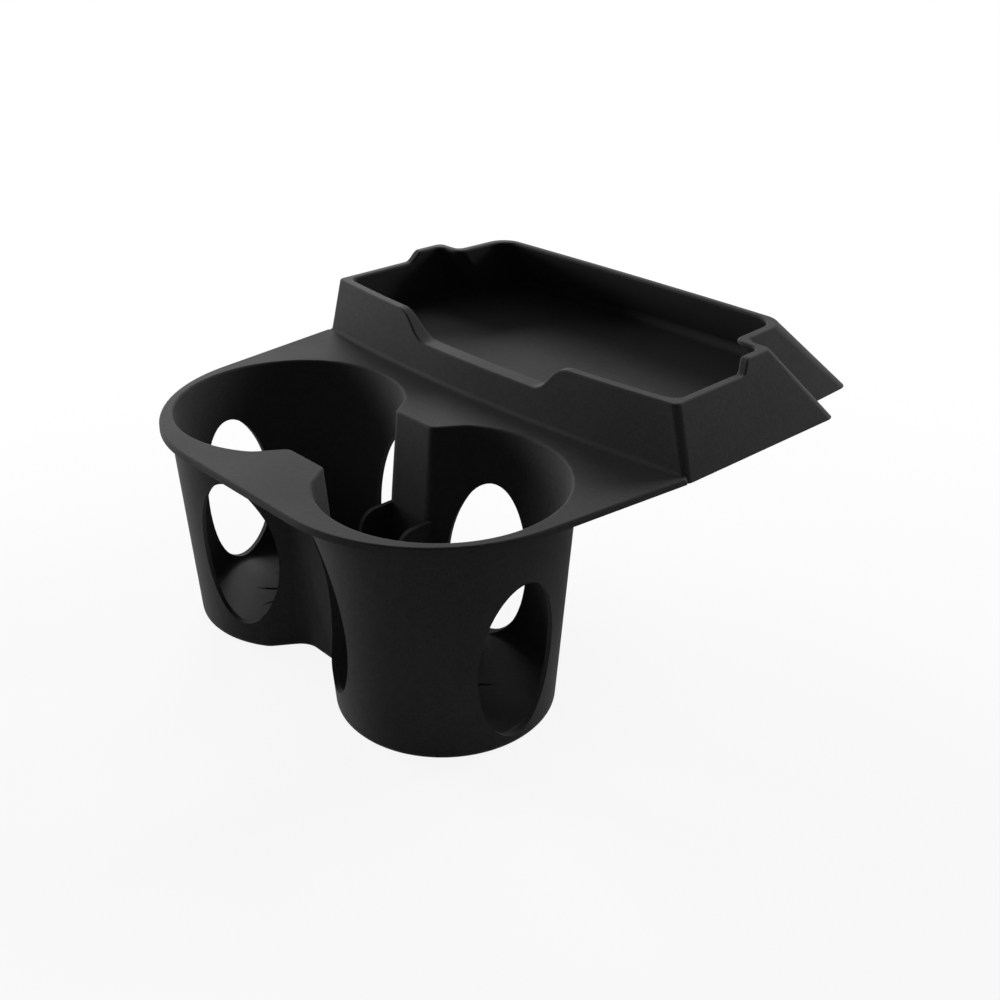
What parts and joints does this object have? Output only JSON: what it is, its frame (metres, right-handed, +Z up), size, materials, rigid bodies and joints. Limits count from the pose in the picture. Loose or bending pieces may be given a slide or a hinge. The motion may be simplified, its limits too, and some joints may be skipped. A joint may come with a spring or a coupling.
{
  "type": "car cup holder",
  "caption": "Car console insert moulded in one piece of matte black rubber: joined tapered cup wells with oval windows in their walls, and a raised open tray behind them.",
  "frame": {"origin": "midway between the cup axes on the seat plane, the underside of the flange", "axes": "+X along the pair of cups, +Y from the cups towards the tray, +Z up out of the wells"},
  "size_m": [0.1878, 0.2109, 0.1043],
  "materials": {
    "rubber": "matte, fine grain"
  },
  "bodies": {
    "root": {"cup_holder": "rubber"}
  },
  "joints": []
}
